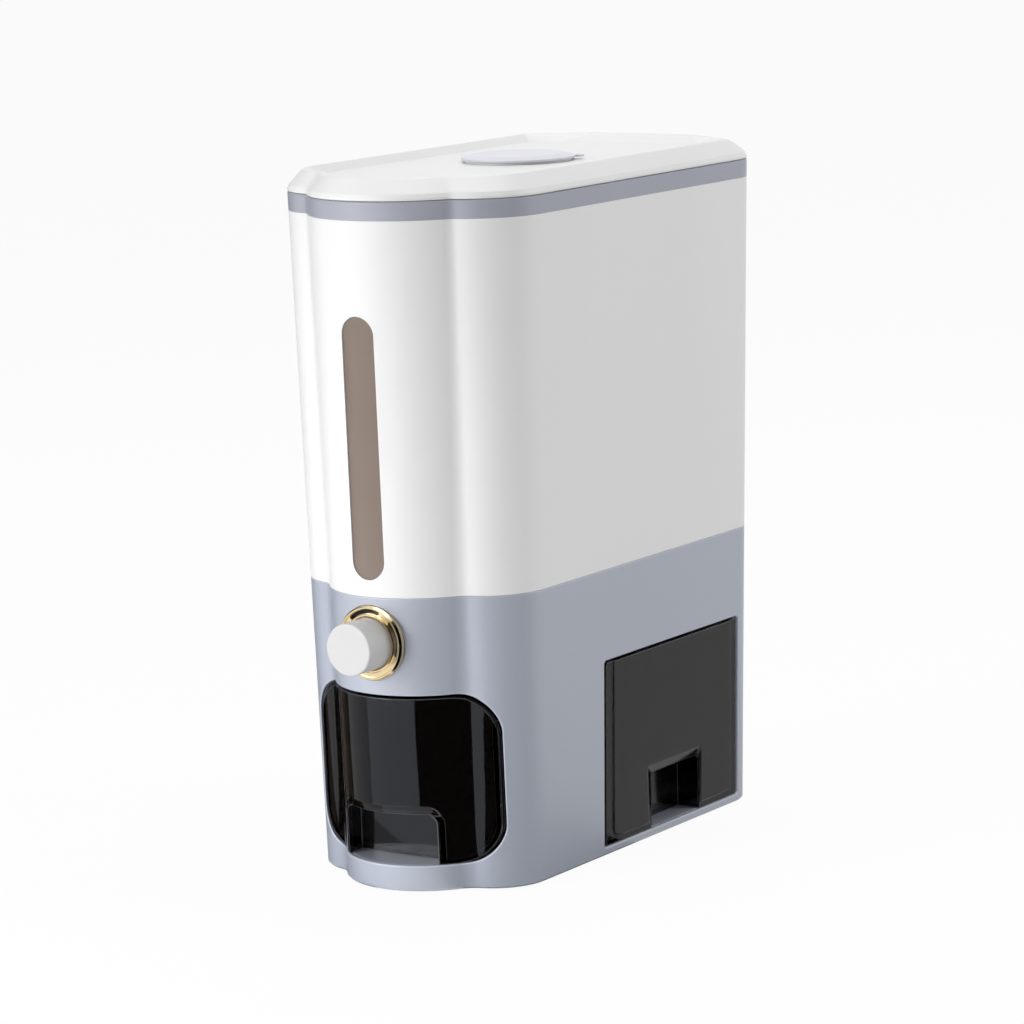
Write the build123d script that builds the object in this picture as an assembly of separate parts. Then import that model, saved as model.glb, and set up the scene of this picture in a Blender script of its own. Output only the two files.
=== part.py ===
"""Rice dispenser with a push button, a catch cup in front and a storage drawer in the side.

Units are millimetres. The model is built with the front bulge's crown on the Y = 0 line,
the housing's lower edge on Z = 0 and the hopper above it. +X is the right-hand side seen
from the front, where the side drawer comes out. It is moved as a whole when it is written,
so that the origin is the bottom centre of the assembly's box.
"""
import math
import os

from build123d import *

# ---------------------------------------------------------------- housing, driving sizes
WIDTH = 170.0  # at the lid
DEPTH = 330.0  # crown of the front bulge to the crown of the back
JOINT_Z = 175.4  # base to hopper
RIM_Z = 406.0  # top of the trim band
BAND_H = 11.0
DRAFT = 10.2  # how far the foot is drawn in on every side, against the rim
WALL = 2.6
CORNER_R = 43.5  # front corners
SHOULDER = 26.5  # front corners lie this far behind the bulge's crown
BULGE_R = 60.4
GROOVE_R = 9.0  # hollow fillet between bulge and corner, at the rim
REAR_R = 32.0  # rear corners
REAR_BOW = 2.8  # crown of the back over a flat one
EDGE = 1.2  # eased lower edge
RUN = 0.3  # running clearance of sliding parts
FIT = 0.2  # clearance of fixed parts
LIP = 1.6  # thickness of tongues and skirts
LIP_DEPTH = 7.0
LEDGE_H = 3.2  # ledge inside the hopper, above its tongue
SEAM = 0.6  # bevel on both sides of the seam under the lid
RIM_EASE = 0.6  # bevel round both openings
OVER = 1.0  # how far a cut reaches past the face it leaves by

# ---------------------------------------------------------------- base: bays and frame
FOOT_R = 8.0
FOOT_PROUD = 1.0
FOOT_SEAT = 1.0
FOOT_SIDE = 39.0  # feet, from the rim's side
FOOT_ENDS = (66.0, 34.0)  # feet, from the bulge's crown and from the back
PLATE_Z = 0.6
PLATE_T = 3.0
CUP_SIDE = 20.0  # sides of the front opening, from the rim's side
CUP_R = 24.0
CUP_SILL = 15.5
CUP_HEAD = 4.8  # deck over the front opening
CUP_BAY_END = 127.5
CUP_LINER_T = 2.5
CUP_LINER_SIDE = 4.0
DRAWER_LEAD = 9.0  # side opening, behind the cup's bay
DRAWER_TAIL = 35.5  # side opening, from the back
DRAWER_SILL = 5.0
DRAWER_HEAD = 2.3  # deck over the side opening
DRAWER_R = 2.5
DRAWER_BACK = 14.6  # far end of the bay, from the rim's left side
LINER_T = 1.6
DECK_T = 2.5
BOSS_R = 4.2
BOSS_H = 16.0
SCREW_R = 1.5
SCREW_HEAD_R = 3.5
SCREW_HEAD_H = 1.8
SCREW_L = 11.0
CUP_SCREW_SIDE = 5.0  # inside the front opening's sides
CUP_SCREW_BACK = (37.5, 5.5)  # before the end of the cup's bay
REAR_SCREW_SIDE = 47.0  # from the rim's side
REAR_SCREW_BACK = 20.5  # from the back

# ---------------------------------------------------------------- catch cup and drawer
CUP_GAP = 2.0  # round the cup's face
DRAWER_GAPS = (4.0, 1.5)  # before and behind the drawer's face
DRAWER_TOP_GAP = 1.8
FACE_T = 2.2
CUP_INSET = 0.8  # the face lies this far behind the housing's skin
CUP_BOX_GAP = 4.0  # between the cup's box and the opening's sides
CUP_BOX_DROP = 17.5  # top of the cup's box under the opening's top
CUP_WALL = 2.0
CUP_CORNER_MORE = 1.0  # corners of the face, rounder than the opening's
CUP_NOTCH_SIDE = 33.0  # sides of the notch, from the opening's sides
CUP_NOTCH_H = 30.6
CUP_NOTCH_END = 35.0
CUP_NOTCH_BEVEL = 5.0  # up the face, over the notch
CUP_NOTCH_BEVEL_DEEP = 1.8
NOTCH_R = 6.0
DRAWER_INSET = 1.3
PANEL_INSET = 0.2
PANEL_MARGIN = (11.0, 8.0)  # front and rear margin of the raised panel
PANEL_SILL = 9.0
PANEL_R = 6.0
PANEL_EASE = 0.7
DRAWER_BOX_DROP = 12.0  # top of the drawer's box under the opening's top
DRAWER_WALL = 2.2
DRAWER_NOTCH_W = 55.0
DRAWER_NOTCH_H = 34.0
DRAWER_NOTCH_TAIL = 44.5  # notch, before the opening's rear side
DRAWER_NOTCH_END = 17.0  # deep
NOTCH_BEVEL = (9.0, 6.5)  # in front of the notch and over it
NOTCH_BEVEL_DEEP = 3.5

# ---------------------------------------------------------------- window and funnel
WINDOW_W = 22.2
WINDOW_ENDS = (10.2, 66.2)  # from the joint and from the rim
WINDOW_INSET = 0.8
WINDOW_T = 3.5
WINDOW_FLANGE = 4.0
PORT_RISE = 13.2  # port over the deck
PORT_DROP = 10.4  # port under the button's axis
PORT_W = 44.0
PORT_Y = (106.0, 117.0)
FUNNEL_T = 2.4
FRONT_SLOPE_DEG = 31.0
REAR_SLOPE_DEG = 30.0
SIDE_SLOPE_DEG = 42.0

# ---------------------------------------------------------------- push button and shutter
BUTTON_DROP = 27.0  # axis under the joint
BUTTON_R = 15.5
BUTTON_FRONT = -17.0
BUTTON_END = 12.0
BUTTON_WALL = 1.9
BUTTON_FACE = 2.5
BUTTON_EDGE = 1.2
STROKE = 13.0
BEZEL_R = 22.3
BEZEL_Y = (4.0, 7.9)
BEZEL_COLLAR_R = 17.5
BEZEL_COLLAR_Y = 3.7
BEZEL_FLOOR_Y = 5.2
BEZEL_FLOOR_T = 0.9
BEZEL_RIM_R = 20.3
BEZEL_FLANK = 1.5  # back of the front, where the sloping flank ends
BEZEL_EASE = 0.5
BEZEL_HOLE_R = 21.0
BEZEL_SLOT_R = 18.9
BEZEL_SLOT_W = 2.6
BEZEL_SLOTS = 3
BEZEL_LEGS = 4
LEG_T = 1.6
SLOT_SPAN_DEG = 58.0
SLOT_START_DEG = 12.0
LEG_SPAN_DEG = 12.0
LEG_END = 13.5
GUIDE_T = 1.6
GUIDE_END = 35.0
GUIDE_CAP_T = 2.0
GUIDE_PLATE = (20.0, 23.0)
GUIDE_PLATE_W = 52.0
GUIDE_PLATE_RISE = 18.6  # over the axis
STEM_R = 4.0
STEM_FIT = 0.06  # radial running clearance of the stem in its end wall
STEM_NECK_R = 2.95
STEM_END = 60.0
BOSS_END = -6.0
BOSS_OUT_R = 7.5
SPRING_WIRE = 1.6
SPRING_R = 6.2
SPRING_TURNS = 5
CLIP_R = 5.6
CLIP_T = 1.0
SHUTTER_W = 60.0
SHUTTER_T = 2.4
SHUTTER_Y = (54.0, 122.0)
SHUTTER_GAP = 0.4
SHUTTER_HOLE_W = 42.0
TAB_T = 3.0
TAB_W = 18.0
TAB_RISE = 5.0
RAIL_T = 2.6
RAIL_LEDGE = 3.0
RAIL_Y = (48.0, 137.0)
RAIL_TOP = 1.0
CHUTE_T = 1.6
CHUTE_LEAD = 1.5  # the chute is wider than the port all round
CHUTE_FLANGE_T = 1.8
CHUTE_FLANGE = 1.6

# ---------------------------------------------------------------- lid
LID_EDGE_H = 3.0  # upright edge of the lid
EDGE_ROUND = 2.6  # rounding between the edge and the slope, up and in
CREST_H = 12.8
CREST_INSET = 9.4
CREST_LAND = 2.6
CREST_EASE = 0.5
PANEL_H = 8.2
PANEL_SLOPE = 4.2
FACET_SIDE = (8.7, 34.0)  # rear facet's first crest point, from the rim's side and back
FACET_BACK = (45.0, 11.5)  # and its second one
FACET_DEG = 27.0
REAR_RAMP = 15.0  # rear slope of the sunk panel
LID_T = 2.2
LID_SHELL = 6.4
PLUG_DEPTH = 7.0
PLUG_GAP = 0.9
PLUG_T = 2.0
SEAL_H = 3.0
SEAL_PROUD = 0.5
SEAL_GROOVE = 0.7
SEAL_DROP = 5.0  # seal under the rim
CAP_Y = 176.5
CAP_R = 34.6
CAP_H = 2.7
CAP_EDGE_H = 1.2
CAP_BEVEL = 6.5
CAP_SKIRT = 7.0
CAP_TAB = 5.0
CAP_TAB_W = 9.0
CAP_TAB_DEG = 33.0
SEAT_RISE = 1.4  # ring under the cap
SEAT_R = 32.2
BASKET_R = 28.0
BASKET_T = 1.5
BASKET_DEEP = 26.0
BASKET_FLANGE_R = 30.4
BASKET_FLANGE_T = 1.2
BASKET_SLOTS = 12
BASKET_SLOT_W = 2.4
BASKET_SLOT_H = 12.0

HALF = WIDTH / 2
BAND_Z = RIM_Z - BAND_H
BUTTON_Z = JOINT_Z - BUTTON_DROP
PORT_Z = BUTTON_Z - PORT_DROP
DECK_TOP = PORT_Z - PORT_RISE
DECK_Z = DECK_TOP - DECK_T
CUP_TOP = DECK_Z - CUP_HEAD
CUP_W = WIDTH - 2 * CUP_SIDE
CUP_BOX_W = CUP_W - 2 * CUP_BOX_GAP
CUP_BOX_TOP = CUP_TOP - CUP_BOX_DROP
CUP_NOTCH_TOP = CUP_SILL + CUP_NOTCH_H
CUP_NOTCH_W = CUP_W - 2 * CUP_NOTCH_SIDE
CHUTE_FOOT = CUP_TOP + RUN
DRAWER_TOP = DECK_Z - DRAWER_HEAD
DRAWER_FRONT = CUP_BAY_END + DRAWER_LEAD
DRAWER_REAR = DEPTH - DRAWER_TAIL
DRAWER_REACH = HALF - DRAWER_BACK
DRAWER_BOX_TOP = DRAWER_TOP - DRAWER_BOX_DROP
NOTCH_REAR = DRAWER_REAR - DRAWER_NOTCH_TAIL
NOTCH_FRONT = NOTCH_REAR - DRAWER_NOTCH_W
NOTCH_TOP = DRAWER_SILL + DRAWER_NOTCH_H
WINDOW_Z = (JOINT_Z + WINDOW_ENDS[0], RIM_Z - WINDOW_ENDS[1])
SEAL_Z = RIM_Z - SEAL_DROP
PANEL_Z = RIM_Z + PANEL_H
SEAT_Z = PANEL_Z + SEAT_RISE
PLATE_TOP = PLATE_Z + PLATE_T
FAR = 30.0  # how far cutting tools reach past what they cut
ORIGIN = Vector(0, -(DEPTH + BUTTON_FRONT) / 2, FOOT_PROUD)


# ---------------------------------------------------------------- helpers
def draft_at(z: float) -> float:
    """How far the skin lies inside the rim outline at height z."""
    return DRAFT * (RIM_Z - z) / RIM_Z


def toward(a: Vector, b: Vector, length: float) -> Vector:
    """The point at a length from a, on the way to b."""
    return a + (b - a).normalized() * length


def arc(centre: Vector, radius: float, start: Vector, end: Vector) -> Edge:
    """The shorter arc about a centre between two points on it."""
    middle = toward(centre, (start + end) / 2, radius)
    return ThreePointArc(start, middle, end)


def plan(inset: float, z: float) -> Face:
    """The housing's outline seen from above, drawn in by an inset, at height z."""
    bulge = Vector(0, BULGE_R)
    corner = Vector(HALF - CORNER_R, SHOULDER + CORNER_R)
    rear = Vector(HALF - REAR_R, DEPTH - REAR_BOW - REAR_R)
    rise = rear.Y - DEPTH
    back_r = (rear.X**2 + rise**2 - REAR_R**2) / (-2 * (rise + REAR_R))
    back = Vector(0, DEPTH - back_r)

    span = (corner - bulge).length
    to_bulge = BULGE_R + GROOVE_R
    to_corner = CORNER_R + GROOVE_R
    along = (span**2 + to_bulge**2 - to_corner**2) / (2 * span)
    aside = math.sqrt(to_bulge**2 - along**2)
    axis = (corner - bulge).normalized()
    groove = bulge + axis * along + Vector(axis.Y, -axis.X) * aside

    p_bulge = toward(bulge, groove, BULGE_R - inset)
    p_corner = toward(corner, groove, CORNER_R - inset)
    p_side = Vector(HALF - inset, corner.Y)
    p_rear = Vector(HALF - inset, rear.Y)
    p_back = toward(rear, rear + (rear - back), REAR_R - inset)

    def other(p: Vector) -> Vector:
        return Vector(-p.X, p.Y)

    right = [
        arc(groove, GROOVE_R + inset, p_bulge, p_corner),
        arc(corner, CORNER_R - inset, p_corner, p_side),
        Line(p_side, p_rear),
        arc(rear, REAR_R - inset, p_rear, p_back),
    ]
    left = [
        arc(other(rear), REAR_R - inset, other(p_back), other(p_rear)),
        Line(other(p_rear), other(p_side)),
        arc(other(corner), CORNER_R - inset, other(p_side), other(p_corner)),
        arc(other(groove), GROOVE_R + inset, other(p_corner), other(p_bulge)),
    ]
    front = ThreePointArc(other(p_bulge), Vector(0, inset), p_bulge)
    rear_arc = ThreePointArc(p_back, Vector(0, DEPTH - inset), other(p_back))
    wire = Wire([front, *right, rear_arc, *left])
    return Pos(0, 0, z) * Face(wire)


def slab(inset_low: float, z_low: float, inset_high: float, z_high: float) -> Solid:
    """A solid between two insets of the housing's outline."""
    return loft([plan(inset_low, z_low), plan(inset_high, z_high)], ruled=True).solid()


def body(inset: float, z_low: float, z_high: float) -> Solid:
    """A solid that follows the drafted skin at a steady inset."""
    return slab(draft_at(z_low) + inset, z_low, draft_at(z_high) + inset, z_high)


def shell(inset_out: float, inset_in: float, z_low: float, z_high: float) -> Part:
    """A ring between two insets of the drafted skin."""
    return body(inset_out, z_low, z_high) - body(inset_in, z_low - FAR / 2, z_high + FAR / 2)


def block(x: tuple, y: tuple, z: tuple) -> Part:
    """A box from its limits along X, Y and Z."""
    size = (x[1] - x[0], y[1] - y[0], z[1] - z[0])
    middle = ((x[0] + x[1]) / 2, (y[0] + y[1]) / 2, (z[0] + z[1]) / 2)
    return Pos(*middle) * Box(*size)


def front_prism(width: float, z: tuple, radius: float, y: tuple) -> Part:
    """A rounded rectangle seen from the front, run along Y."""
    plane = Plane((0, y[0], (z[0] + z[1]) / 2), x_dir=(1, 0, 0), z_dir=(0, 1, 0))
    return extrude(plane * RectangleRounded(width, z[1] - z[0], radius), amount=y[1] - y[0])


def side_prism(y: tuple, z: tuple, radius: float, x: tuple) -> Part:
    """A rounded rectangle seen from the right, run along X."""
    plane = Plane((x[0], (y[0] + y[1]) / 2, (z[0] + z[1]) / 2), x_dir=(0, 1, 0), z_dir=(1, 0, 0))
    return extrude(plane * RectangleRounded(y[1] - y[0], z[1] - z[0], radius), amount=x[1] - x[0])


def rod(radius: float, y: tuple) -> Part:
    """A cylinder on the button's axis."""
    plane = Plane((0, y[0], BUTTON_Z), x_dir=(1, 0, 0), z_dir=(0, 1, 0))
    return extrude(plane * Circle(radius), amount=y[1] - y[0])


def post(radius: float, x: float, y: float, z: tuple) -> Part:
    """An upright cylinder."""
    return extrude(Pos(x, y, z[0]) * Circle(radius), amount=z[1] - z[0])


def turned(points: list) -> Part:
    """A ring turned about the button's axis, from (radius, y) corners."""
    profile = make_face(Polyline(*[(r, y) for r, y in points], close=True))
    return revolve(Pos(0, 0, BUTTON_Z) * profile, Axis((0, 0, BUTTON_Z), (0, 1, 0)))


def save(node: str, *solids) -> None:
    """Write one node's solids, moved to the assembly's origin."""
    moved = []
    for solid in solids:
        for piece in solid.solids():
            moved.append(Pos(*ORIGIN) * piece)
    shape = moved[0] if len(moved) == 1 else Compound(children=moved)
    export_step(shape, f"parts/{node}.step")


# ---------------------------------------------------------------- base
def cup_opening(grow: float, y: tuple) -> Part:
    """The front opening's shape, grown by a margin."""
    z = (CUP_SILL - grow, CUP_TOP + grow)
    return front_prism(CUP_W + 2 * grow, z, CUP_R + grow, y)


def drawer_opening(grow: float, x: tuple) -> Part:
    """The side opening's shape, grown by a margin."""
    y = (DRAWER_FRONT - grow, DRAWER_REAR + grow)
    z = (DRAWER_SILL - grow, DRAWER_TOP + grow)
    return side_prism(y, z, DRAWER_R, x)


def rear_screws() -> list:
    """Places of the two screws at the back."""
    x = HALF - REAR_SCREW_SIDE
    return [(-x, DEPTH - REAR_SCREW_BACK), (x, DEPTH - REAR_SCREW_BACK)]


def cup_screws() -> list:
    """Places of the four screws under the cup's bay."""
    x = CUP_W / 2 - CUP_SCREW_SIDE
    return [(side * x, CUP_BAY_END - back) for side in (-1, 1) for back in CUP_SCREW_BACK]


def ease_mouth(part: Part, near: Part, skin: float, ease: float) -> Solid:
    """Bevel the edges that a cut left on an outer skin, inside a region near the cut."""
    solid = part.solid()
    inner = body(skin + ease / 4, -FAR, RIM_Z)
    edges = []
    for edge in solid.edges():
        points = [edge @ share for share in (0.1, 0.5, 0.9)]
        if all(near.is_inside(point) and not inner.is_inside(point) for point in points):
            edges.append(edge)
    return solid.chamfer(ease, None, edges)


def make_base_housing() -> Part:
    """Lower housing: drafted wall, both openings, the button's hole and two rear bosses."""
    outer = slab(draft_at(0) + EDGE, 0, draft_at(EDGE), EDGE) + body(0, EDGE, JOINT_Z)
    housing = outer - body(WALL, -FAR, JOINT_Z + FAR)
    inside = body(WALL / 2, PLATE_TOP, PLATE_TOP + BOSS_H)
    for x, y in rear_screws():
        boss = post(BOSS_R, x, y, (PLATE_TOP, PLATE_TOP + BOSS_H))
        rib = block((x - LIP / 2, x + LIP / 2), (y, DEPTH), (PLATE_TOP, PLATE_TOP + BOSS_H))
        hole = post(SCREW_R + STEM_FIT, x, y, (PLATE_TOP, PLATE_TOP + SCREW_L))
        housing = housing + ((boss + rib) & inside) - hole
    housing -= cup_opening(0, (-FAR, SHOULDER + CORNER_R))
    housing -= drawer_opening(0, (HALF - FAR, HALF + FAR))
    for near in (cup_opening(OVER, (-FAR, DEPTH / 2)), drawer_opening(OVER, (HALF - FAR, HALF + FAR))):
        housing = ease_mouth(housing, near, 0, RIM_EASE)
    housing -= rod(BEZEL_HOLE_R, (-FAR, GUIDE_PLATE[0]))
    housing -= rod(BEZEL_R + RUN, (-FAR, BEZEL_Y[1]))
    return housing


def foot_places() -> list:
    """Where the rubber feet sit."""
    x = HALF - FOOT_SIDE
    ends = (FOOT_ENDS[0], DEPTH - FOOT_ENDS[1])
    return [(side * x, y) for side in (-1, 1) for y in ends]


def make_bottom_plate() -> Part:
    """Plate that closes the base, with seats for feet and screw heads."""
    plate = body(WALL + FIT, PLATE_Z, PLATE_TOP)
    for x, y in foot_places():
        plate -= post(FOOT_R + FIT, x, y, (PLATE_Z - OVER, PLATE_Z + FOOT_SEAT))
    for x, y in cup_screws() + rear_screws():
        plate -= post(SCREW_HEAD_R + FIT, x, y, (PLATE_Z - OVER, PLATE_Z + SCREW_HEAD_H + FIT))
        plate -= post(SCREW_R + FIT, x, y, (PLATE_Z, PLATE_TOP + OVER))
    return plate


def make_feet() -> list:
    """Four rubber feet."""
    z = (-FOOT_PROUD, PLATE_Z + FOOT_SEAT)
    return [post(FOOT_R, x, y, z) for x, y in foot_places()]


def make_base_screws() -> list:
    """Pan-head screws, up through the plate."""
    screws = []
    for x, y in cup_screws() + rear_screws():
        head_top = PLATE_Z + FIT + SCREW_HEAD_H
        head = post(SCREW_HEAD_R, x, y, (PLATE_Z + FIT, head_top))
        shank = post(SCREW_R, x, y, (head_top, PLATE_TOP + SCREW_L - OVER))
        screws.append(head + shank)
    return screws


def make_cup_bay_liner() -> Part:
    """Block with the catch cup's tunnel; it stands on the plate and carries the deck."""
    x = (-CUP_W / 2 - CUP_LINER_SIDE, CUP_W / 2 + CUP_LINER_SIDE)
    liner = block(x, (0, CUP_BAY_END + CUP_LINER_T), (PLATE_TOP, DECK_Z))
    liner &= body(WALL + RUN, 0, DECK_Z + OVER)
    liner -= cup_opening(0, (-FAR, CUP_BAY_END))
    liner -= chute_block(CHUTE_T + FIT, (CUP_TOP - CUP_R, DECK_Z + OVER))
    for place in cup_screws():
        liner -= post(SCREW_R + STEM_FIT, *place, (PLATE_TOP, PLATE_TOP + SCREW_L))
    return liner


def make_drawer_bay_liner() -> Part:
    """Thin box that the side drawer runs in."""
    x = (-DRAWER_REACH - LINER_T, HALF)
    y = (DRAWER_FRONT - LINER_T, DRAWER_REAR + LINER_T)
    liner = block(x, y, (PLATE_TOP, DECK_Z)) & body(WALL + RUN, 0, DECK_Z + OVER)
    return liner - drawer_opening(0, (-DRAWER_REACH, HALF + FAR))


def make_deck() -> Part:
    """Floor of the mechanism, on top of both bays."""
    hole = chute_block(CHUTE_T + FIT, (DECK_Z - OVER, DECK_TOP + OVER))
    return body(WALL + FIT, DECK_Z, DECK_TOP) - hole


# ---------------------------------------------------------------- catch cup and drawer
def notch_prism(grow: float, end: float) -> Part:
    """The finger notch in the cup's foot, grown by a wall."""
    height = CUP_NOTCH_TOP + grow - CUP_SILL
    z = (CUP_SILL - height, CUP_SILL + height)
    return front_prism(CUP_NOTCH_W + 2 * grow, z, NOTCH_R + grow, (-FAR, end))


def cup_trough(wall: float) -> Part:
    """The cup's box without its top, drawn in by a wall."""
    low = CUP_SILL + RUN + wall
    z = (low, 2 * CUP_BOX_TOP - low)
    y = (-FAR, CUP_BAY_END - RUN - wall)
    trough = front_prism(CUP_BOX_W - 2 * wall, z, CUP_R - wall, y)
    return trough & block((-HALF, HALF), (-FAR, DEPTH), (0, CUP_BOX_TOP + (OVER if wall else 0)))


def cup_notch_bevel() -> Part:
    """What the bevel over the cup's notch takes from the curved face."""
    high = CUP_NOTCH_TOP + CUP_NOTCH_BEVEL
    low = CUP_NOTCH_TOP - OVER
    skin = BULGE_R - draft_at(high) - CUP_INSET
    deep = skin - CUP_NOTCH_BEVEL_DEEP
    profile = [(0, low), (deep, low), (deep, CUP_NOTCH_TOP), (skin, high), (skin, high + OVER), (0, high + OVER)]
    core = Pos(0, BULGE_R, 0) * revolve(Plane.XZ * make_face(Polyline(*profile, close=True)), Axis.Z)
    width = CUP_NOTCH_W + 2 * CUP_NOTCH_BEVEL_DEEP
    bevel = front_prism(width, (0, high), NOTCH_R + CUP_NOTCH_BEVEL_DEEP, (-FAR, BULGE_R))
    return bevel - block((-HALF, HALF), (-2 * FAR, DEPTH), (-OVER, low)) - core


def make_catch_cup() -> Part:
    """Smoked catch cup: curved face, box behind it and a finger notch in its foot."""
    z = (CUP_SILL + RUN, CUP_TOP - CUP_GAP)
    outline = front_prism(CUP_W - 2 * CUP_GAP, z, CUP_R + CUP_CORNER_MORE, (-FAR, DEPTH / 2))
    face = shell(CUP_INSET, CUP_INSET + FACE_T, CUP_SILL, CUP_TOP) & outline
    face &= block((-HALF, HALF), (-FAR, CORNER_R + SHOULDER), (0, RIM_Z))
    box = cup_trough(0) & body(CUP_INSET, 0, RIM_Z)
    hollow = cup_trough(CUP_WALL) & body(CUP_INSET + FACE_T, 0, RIM_Z)
    hollow -= notch_prism(CUP_WALL, CUP_NOTCH_END + CUP_WALL)
    return face + (box - hollow) - (notch_prism(0, CUP_NOTCH_END) + cup_notch_bevel())


def drawer_notch(grow: float, deep: float) -> Part:
    """The drawer's finger notch, a prism into its face."""
    height = NOTCH_TOP + grow - DRAWER_SILL
    y = (NOTCH_FRONT - grow, NOTCH_REAR + grow)
    z = (DRAWER_SILL - height, DRAWER_SILL + height)
    x = (HALF - draft_at(DRAWER_SILL) - deep, HALF + FAR)
    return side_prism(y, z, NOTCH_R / 2 + grow, x)


def notch_mouth() -> Part:
    """Bevelled mouth of the drawer's notch, in front of it and over it."""
    face_x = HALF - draft_at(NOTCH_TOP)
    sections = []
    for x, share in ((face_x - NOTCH_BEVEL_DEEP, 0), (face_x, 1), (face_x + FAR / 2, 1)):
        height = NOTCH_TOP + share * NOTCH_BEVEL[1] - DRAWER_SILL
        width = DRAWER_NOTCH_W + share * NOTCH_BEVEL[0]
        plane = Plane((x, NOTCH_REAR - width / 2, DRAWER_SILL), x_dir=(0, 1, 0), z_dir=(1, 0, 0))
        sections.append(plane * RectangleRounded(width, 2 * height, NOTCH_R / 2))
    return loft([section.face() for section in sections], ruled=True)


def make_side_drawer() -> Part:
    """Smoked storage drawer: face with a raised panel, open box and a finger notch."""
    y = (DRAWER_FRONT + DRAWER_GAPS[0], DRAWER_REAR - DRAWER_GAPS[1])
    top = DRAWER_TOP - DRAWER_TOP_GAP
    low = DRAWER_SILL + RUN
    x_end = -DRAWER_REACH + RUN
    skin = body(DRAWER_INSET, 0, DECK_Z)
    face = side_prism(y, (low, top), DRAWER_R, (0, HALF)) & skin
    face -= body(DRAWER_INSET + FACE_T, -OVER, DECK_TOP)
    panel_y = (DRAWER_FRONT + PANEL_MARGIN[0], DRAWER_REAR - PANEL_MARGIN[1])
    panel_z = (PANEL_SILL, 2 * DRAWER_TOP - PANEL_SILL)
    panel = side_prism(panel_y, panel_z, PANEL_R, (0, HALF)) & body(PANEL_INSET, 0, DECK_Z)
    panel &= block((0, HALF), (0, DEPTH), (0, top))
    panel -= body(DRAWER_INSET + FACE_T / 2, -OVER, DECK_TOP)
    box = side_prism(y, (low, 2 * DRAWER_BOX_TOP - low), DRAWER_R, (x_end, HALF)) & skin
    box &= block((x_end, HALF), y, (0, DRAWER_BOX_TOP))
    inner_y = (y[0] + DRAWER_WALL, y[1] - DRAWER_WALL)
    hollow = block((x_end + DRAWER_WALL, HALF), inner_y, (low + DRAWER_WALL, DRAWER_BOX_TOP + OVER))
    hollow &= body(DRAWER_INSET + FACE_T, 0, DECK_Z)
    hollow -= drawer_notch(DRAWER_WALL, DRAWER_NOTCH_END + DRAWER_WALL)
    drawer = face + panel + (box - hollow) - drawer_notch(0, DRAWER_NOTCH_END) - notch_mouth()
    near = side_prism((panel_y[0] - OVER, panel_y[1] + OVER), (0, top - PANEL_EASE), OVER, (0, HALF))
    return ease_mouth(drawer, near, PANEL_INSET, PANEL_EASE)


# ---------------------------------------------------------------- hopper
def tongue(z: float, top: float, down: float) -> Part:
    """Inner ledge with a tongue that reaches down past a joint at height z."""
    ledge = shell(WALL - FIT, WALL + FIT + LIP, z + FIT, top)
    return ledge + shell(WALL + FIT, WALL + FIT + LIP, z - down, z + 2 * FIT)


def window_prism(grow: float) -> Part:
    """The window's slot shape, grown by a margin."""
    width = WINDOW_W + 2 * grow
    z = (WINDOW_Z[0] - grow, WINDOW_Z[1] + grow)
    plane = Plane((0, -FAR, (z[0] + z[1]) / 2), x_dir=(0, 0, 1), z_dir=(0, 1, 0))
    return extrude(plane * SlotOverall(z[1] - z[0], width), amount=FAR + BULGE_R)


def make_hopper_shell() -> Part:
    """Upper housing with the window's slot and a tongue into the base."""
    wall = shell(0, WALL, JOINT_Z + FIT, BAND_Z)
    return wall + tongue(JOINT_Z, JOINT_Z + LEDGE_H, LIP_DEPTH) - window_prism(0)


def make_level_window() -> Part:
    """Smoked insert: a lens in the slot and a flange behind the wall."""
    low = WINDOW_Z[0] - FAR / 2
    high = WINDOW_Z[1] + FAR / 2
    lens = shell(WINDOW_INSET, WINDOW_INSET + WINDOW_T, low, high) & window_prism(-FIT)
    flange = shell(WALL + FIT / 2, WINDOW_INSET + WINDOW_T, low, high) & window_prism(WINDOW_FLANGE)
    return lens + flange


def frustum(thick: float) -> Part:
    """The funnel's four slopes, set out by a wall measured square to each slope."""
    rise = DEPTH * math.tan(math.radians(REAR_SLOPE_DEG)) - WALL
    slopes = (("front", FRONT_SLOPE_DEG), ("rear", REAR_SLOPE_DEG), ("side", SIDE_SLOPE_DEG))
    sections = []
    for z, height in ((PORT_Z, 0), (PORT_Z + rise, rise)):
        reach = {}
        for name, slope in slopes:
            angle = math.radians(slope)
            reach[name] = height / math.tan(angle) + thick / math.sin(angle)
        half = PORT_W / 2 + reach["side"]
        front = PORT_Y[0] - reach["front"]
        rear = PORT_Y[1] + reach["rear"]
        corners = [(-half, front), (half, front), (half, rear), (-half, rear)]
        sections.append(Pos(0, 0, z) * make_face(Polyline(*corners, close=True)))
    return loft([section.face() for section in sections], ruled=True)


def make_hopper_funnel() -> Part:
    """Sloped hopper floor that leads to the port, trimmed to the housing's inside."""
    sheet = frustum(FUNNEL_T) - frustum(0)
    sheet &= body(WALL + RUN, PORT_Z, BAND_Z - LIP_DEPTH - RUN)
    sheet -= shell(0, WALL + FIT + LIP + RUN, PORT_Z - OVER, JOINT_Z + LEDGE_H + RUN)
    behind_window = shell(0, WINDOW_INSET + WINDOW_T + RUN, PORT_Z, WINDOW_Z[1] + FAR)
    return sheet - (behind_window & window_prism(WINDOW_FLANGE + RUN))


def make_trim_band() -> Part:
    """Coloured band round the rim, with a skirt into the hopper."""
    top = RIM_Z - SEAM
    outer = body(0, BAND_Z, top) + slab(draft_at(top), top, SEAM, RIM_Z)
    band = outer - body(WALL, BAND_Z - OVER, RIM_Z + OVER)
    return band + tongue(BAND_Z, BAND_Z + LIP, LIP_DEPTH)


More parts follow.
